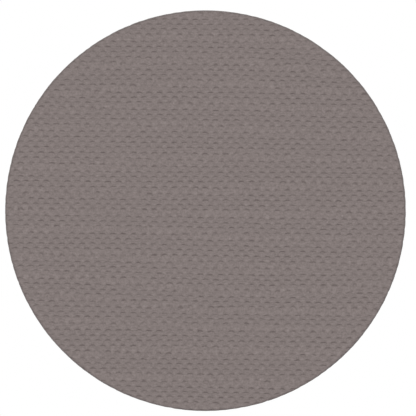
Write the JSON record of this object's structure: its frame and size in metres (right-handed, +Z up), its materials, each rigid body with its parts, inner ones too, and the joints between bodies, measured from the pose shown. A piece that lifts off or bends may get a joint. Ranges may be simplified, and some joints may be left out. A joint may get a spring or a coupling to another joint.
{
  "type": "collapsible backdrop panel",
  "caption": "Round pop-up backdrop disc: woven cloth on a spring-steel hoop, with a hanging tab and eyelet, a keeper strap and a fold across the middle.",
  "frame": {"origin": "centre of the hanging eyelet, in the tab's mid-plane", "axes": "+Z up as the panel hangs, +Y from the face towards the back, so the face looks along -Y; +X to the viewer's right"},
  "size_m": [0.56, 0.0137, 0.56],
  "materials": {
    "face_cloth": "coarse matt weave, taupe grey",
    "lining": "thin plain weave, charcoal",
    "tape": "twill tape, black",
    "webbing": "woven webbing, black",
    "elastic": "ribbed elastic, black",
    "patch": "coated cloth, black",
    "label": "satin ribbon, off-white, blank",
    "spring_steel": "blued spring steel",
    "nickel": "nickel plate",
    "shrink_tube": "heat-shrink tube"
  },
  "bodies": {
    "hang_tab": {"hang_tab_webbing": "webbing", "eyelet_barrel": "nickel", "eyelet_washer": "nickel"},
    "upper_panel": {"hoop_upper": "spring_steel", "hoop_bend_left": "spring_steel", "hoop_bend_right": "spring_steel", "face_cloth_upper": "face_cloth", "face_cloth_bend": "face_cloth", "back_lining_upper": "lining", "back_lining_bend": "lining", "hem_tape_upper": "tape", "hem_tape_bend_left": "tape", "hem_tape_bend_right": "tape", "tab_patch": "patch", "tab_foot": "webbing", "keeper_patch": "patch", "keeper_foot": "elastic", "snap_post": "nickel", "snap_stud": "nickel"},
    "lower_panel": {"hoop_lower_left": "spring_steel", "hoop_lower_right": "spring_steel", "face_cloth_lower": "face_cloth", "back_lining_lower": "lining", "hem_tape_lower": "tape", "splice_plate": "spring_steel", "splice_rivet_1": "nickel", "splice_rivet_2": "nickel", "splice_rivet_3": "nickel", "splice_rivet_4": "nickel", "splice_sleeve": "shrink_tube", "care_label": "label"},
    "keeper": {"keeper_strap": "elastic", "snap_cap": "nickel", "snap_socket": "nickel"}
  },
  "joints": [
    {"name": "panel_swing", "type": "hinge", "parent": "hang_tab", "child": "upper_panel", "pos_m": [0, 0, -0.024], "axis": [1, 0, 0], "range_deg": [0, 80]},
    {"name": "panel_fold", "type": "hinge", "parent": "upper_panel", "child": "lower_panel", "pos_m": [0, -0.0065, -0.248], "axis": [-1, 0, 0], "range_deg": [0, 155], "stiffness_Nm_per_rad": 1, "deforming": ["hoop_bend_left", "hoop_bend_right", "face_cloth_bend", "back_lining_bend", "hem_tape_bend_left", "hem_tape_bend_right"]},
    {"name": "keeper_swing", "type": "hinge", "parent": "upper_panel", "child": "keeper", "pos_m": [0.07, 0.0005, -0.041], "axis": [1, 0, 0], "range_deg": [0, 150]}
  ]
}
